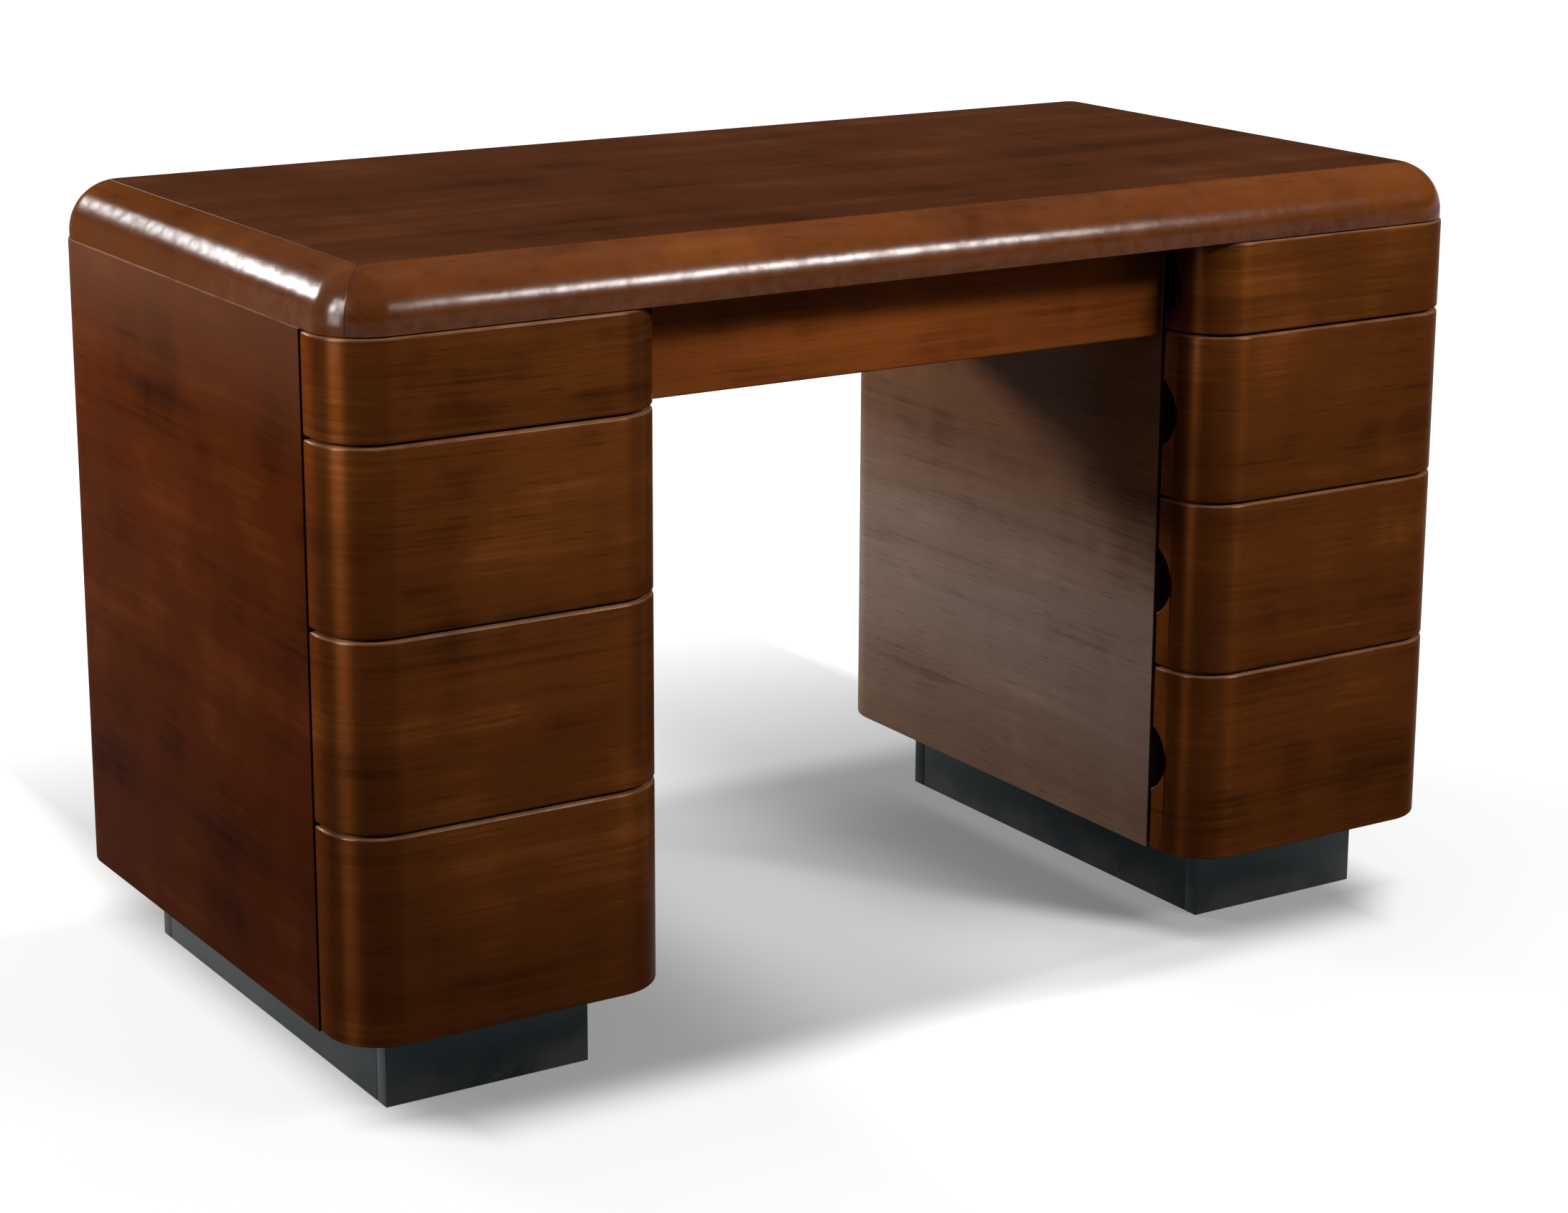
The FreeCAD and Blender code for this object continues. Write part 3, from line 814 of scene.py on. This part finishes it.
def addFloorGlowAndShade(tree, seen):
    spot = axesOf(tree, seen)
    across = sums(tree, "ABSOLUTE", spot["X"])
    # how far a point of the floor is outside the desk's footprint, counted less towards the rear
    beside = sums(tree, "MAXIMUM", sums(tree, "SUBTRACT", across, floorLook["half"]))
    before = sums(tree, "MAXIMUM", sums(tree, "SUBTRACT", floorLook["front"], spot["Y"]))
    behind = sums(tree, "MAXIMUM", sums(tree, "SUBTRACT", spot["Y"], floorLook["rear"]))
    away = sums(tree, "ADD", sums(tree, "ADD", beside, before), times(tree, behind, floorLook["rearShare"]))
    # painted shade: the glow is lower towards the pedestals than in the middle of the kneehole
    lift = ease(tree, across, *floorLook["middle"])
    for value, part in ((away, "near"), (away, "far"), (spot["Y"], "behind")):
        lift = sums(tree, "ADD", lift, ease(tree, value, *floorLook[part]))
    slantX, slantY = kneeholePaintedLight["slant"]
    slant = sums(tree, "ADD", times(tree, spot["X"], slantX), times(tree, spot["Y"], slantY))
    lit = times(tree, *(ease(tree, value, *kneeholePaintedLight[part]) for value, part in (
        (spot["X"], "litFrom"), (spot["X"], "litTo"), (spot["Y"], "litFront"), (spot["Y"], "litBack"),
        (slant, "lit"))))
    paintedShadow = times(tree, *(ease(tree, value, *kneeholePaintedLight[part]) for value, part in (
        (slant, "paintedShadow"), (across, "shadowTo"), (spot["Y"], "shadowBack"))))
    return sums(tree, "SUBTRACT", sums(tree, "ADD", lift, lit), paintedShadow)


def makeFloor():
    bm = bmesh.new()
    bmesh.ops.create_grid(bm, x_segments=1, y_segments=1, size=floorLook["size"] / 2)
    floor = finishMesh("studioFloor", bm)
    material, tree, shader, seen = startMaterial("paleFloor")
    tree.nodes.remove(shader)
    shade = tint(tree, pattern(tree, seen, **floorLook["speck"]), floorLook["albedo"], floorLook["specks"])
    ray = put(tree, "LightPath").outputs
    seenBy = sums(tree, "MAXIMUM", sums(tree, "MAXIMUM", ray["Is Camera Ray"], ray["Is Glossy Ray"]),
                  ray["Is Transmission Ray"])
    matte = put(tree, "BsdfDiffuse", {"Color": tint(tree, seenBy, floorLook["bounce"], shade)})
    glow = put(tree, "Emission", {"Strength": times(tree, seenBy, addFloorGlowAndShade(tree, seen))})
    both = put(tree, "AddShader", {0: matte.outputs[0], 1: glow.outputs[0]})
    link(tree, {"Surface": both.outputs[0]}, tree.nodes["Material Output"].inputs)
    floor.data.materials.append(material)


makeFloor()


# studio light: a dim dome, white only low down behind the floor's far edge, and soft boxes
domeLook = {"levels": ((0.25, 0.03), (0.6, 0.27), (1.0, 0.5)), "white": (1.0, 1.0, 1.0, 1.0),
            "backdrop": (0.14, 0.24, 1.0, 0.0), "mirrored": (0.05, 0.10, 1.0, 0.0)}


def makeDome():
    world = bpy.data.worlds.new("softDome")
    scene.world = world
    world.use_nodes = True
    tree = world.node_tree
    up = axesOf(tree, put(tree, "TexCoord").outputs["Generated"])["Z"]
    ramp = put(tree, "ValToRGB", {"Fac": up})
    stops = ramp.color_ramp.elements
    horizon, middle, zenith = (height for height, level in domeLook["levels"])
    stops[0].position, stops[1].position = horizon, zenith
    stops.new(middle)
    for stop, (height, level) in zip(stops, domeLook["levels"]):
        stop.color = (level, level, level, 1.0)
    ray = put(tree, "LightPath").outputs
    mirrored = sums(tree, "MAXIMUM", ray["Is Glossy Ray"], ray["Is Transmission Ray"])
    backdrop = sums(tree, "MAXIMUM", times(tree, ray["Is Camera Ray"], ease(tree, up, *domeLook["backdrop"])),
                    times(tree, mirrored, ease(tree, up, *domeLook["mirrored"])))
    sky = tint(tree, backdrop, ramp.outputs[0], domeLook["white"])
    link(tree, {"Color": sky}, tree.nodes["Background"].inputs)


makeDome()
softBoxes = {
    "topBox": {"towards": (0.0, 0.05, 1.0), "aim": (0.65, 0.0, 0.7), "far": 2.3, "size": (1.0, 0.8),
               "power": 20.0, "seen": "diffuse"},
    "leftBox": {"towards": (-0.913, 0.034, 0.407), "aim": (-0.5, -0.2, 0.6), "far": 3.0, "size": (0.4, 0.5),
                "power": 38.0, "seen": "both"},
    "leftGlow": {"towards": (-0.94, -0.10, 0.34), "aim": (-0.5, -0.2, 0.6), "far": 2.9, "size": (1.2, 2.2),
                 "power": 320.0, "seen": "gloss"},
    "backBox": {"towards": (-0.31, 0.90, 0.31), "aim": (-0.6, 0.0, 0.72), "far": 3.4, "size": (1.2, 0.45),
                "power": 112.0, "seen": "both"},
    "frontBox": {"towards": (0.47, -0.75, 0.54), "aim": (0.0, -0.3, 0.7), "far": 3.6, "size": (1.5, 0.45),
                 "power": 112.0, "seen": "diffuse"},
    "frontGlow": {"towards": (0.47, -0.75, 0.46), "aim": (0.0, -0.3, 0.7), "far": 3.55, "size": (1.2, 0.5),
                  "power": 175.0, "seen": "gloss"},
}
for name, box in softBoxes.items():
    lamp = bpy.data.lights.new(name, "AREA")
    lamp.shape = "RECTANGLE"
    lamp.size, lamp.size_y = box["size"]
    lamp.energy = box["power"]
    holder = bpy.data.objects.new(name, lamp)
    towards = Vector(box["towards"]).normalized()
    holder.location = Vector(box["aim"]) + towards * box["far"]
    holder.rotation_euler = towards.to_track_quat("Z", "Y").to_euler()
    holder.visible_camera = False
    holder.visible_diffuse = box["seen"] != "gloss"
    holder.visible_glossy = box["seen"] != "diffuse"
    scene.collection.objects.link(holder)
print("floor and light made")


# camera, at the photograph's angle
cameraLook = {"place": (-1.7548, -2.7999, 1.2346), "tilt": 75.9683, "swing": -32.3320, "roll": 0.2177,
              "sensor": 36.0, "lens": 79.56, "shiftY": -0.06}
cameraData = bpy.data.cameras.new("camera")
cameraData.sensor_width = cameraLook["sensor"]
cameraData.lens = cameraLook["lens"]
cameraData.shift_y = cameraLook["shiftY"]
camera = bpy.data.objects.new("camera", cameraData)
turn = (Matrix.Rotation(math.radians(cameraLook["swing"]), 4, "Z")
        @ Matrix.Rotation(math.radians(cameraLook["tilt"]), 4, "X")
        @ Matrix.Rotation(math.radians(cameraLook["roll"]), 4, "Z"))
camera.matrix_world = Matrix.Translation(cameraLook["place"]) @ turn
scene.collection.objects.link(camera)
scene.camera = camera
scene.view_settings.view_transform = "Standard"
print("camera set")
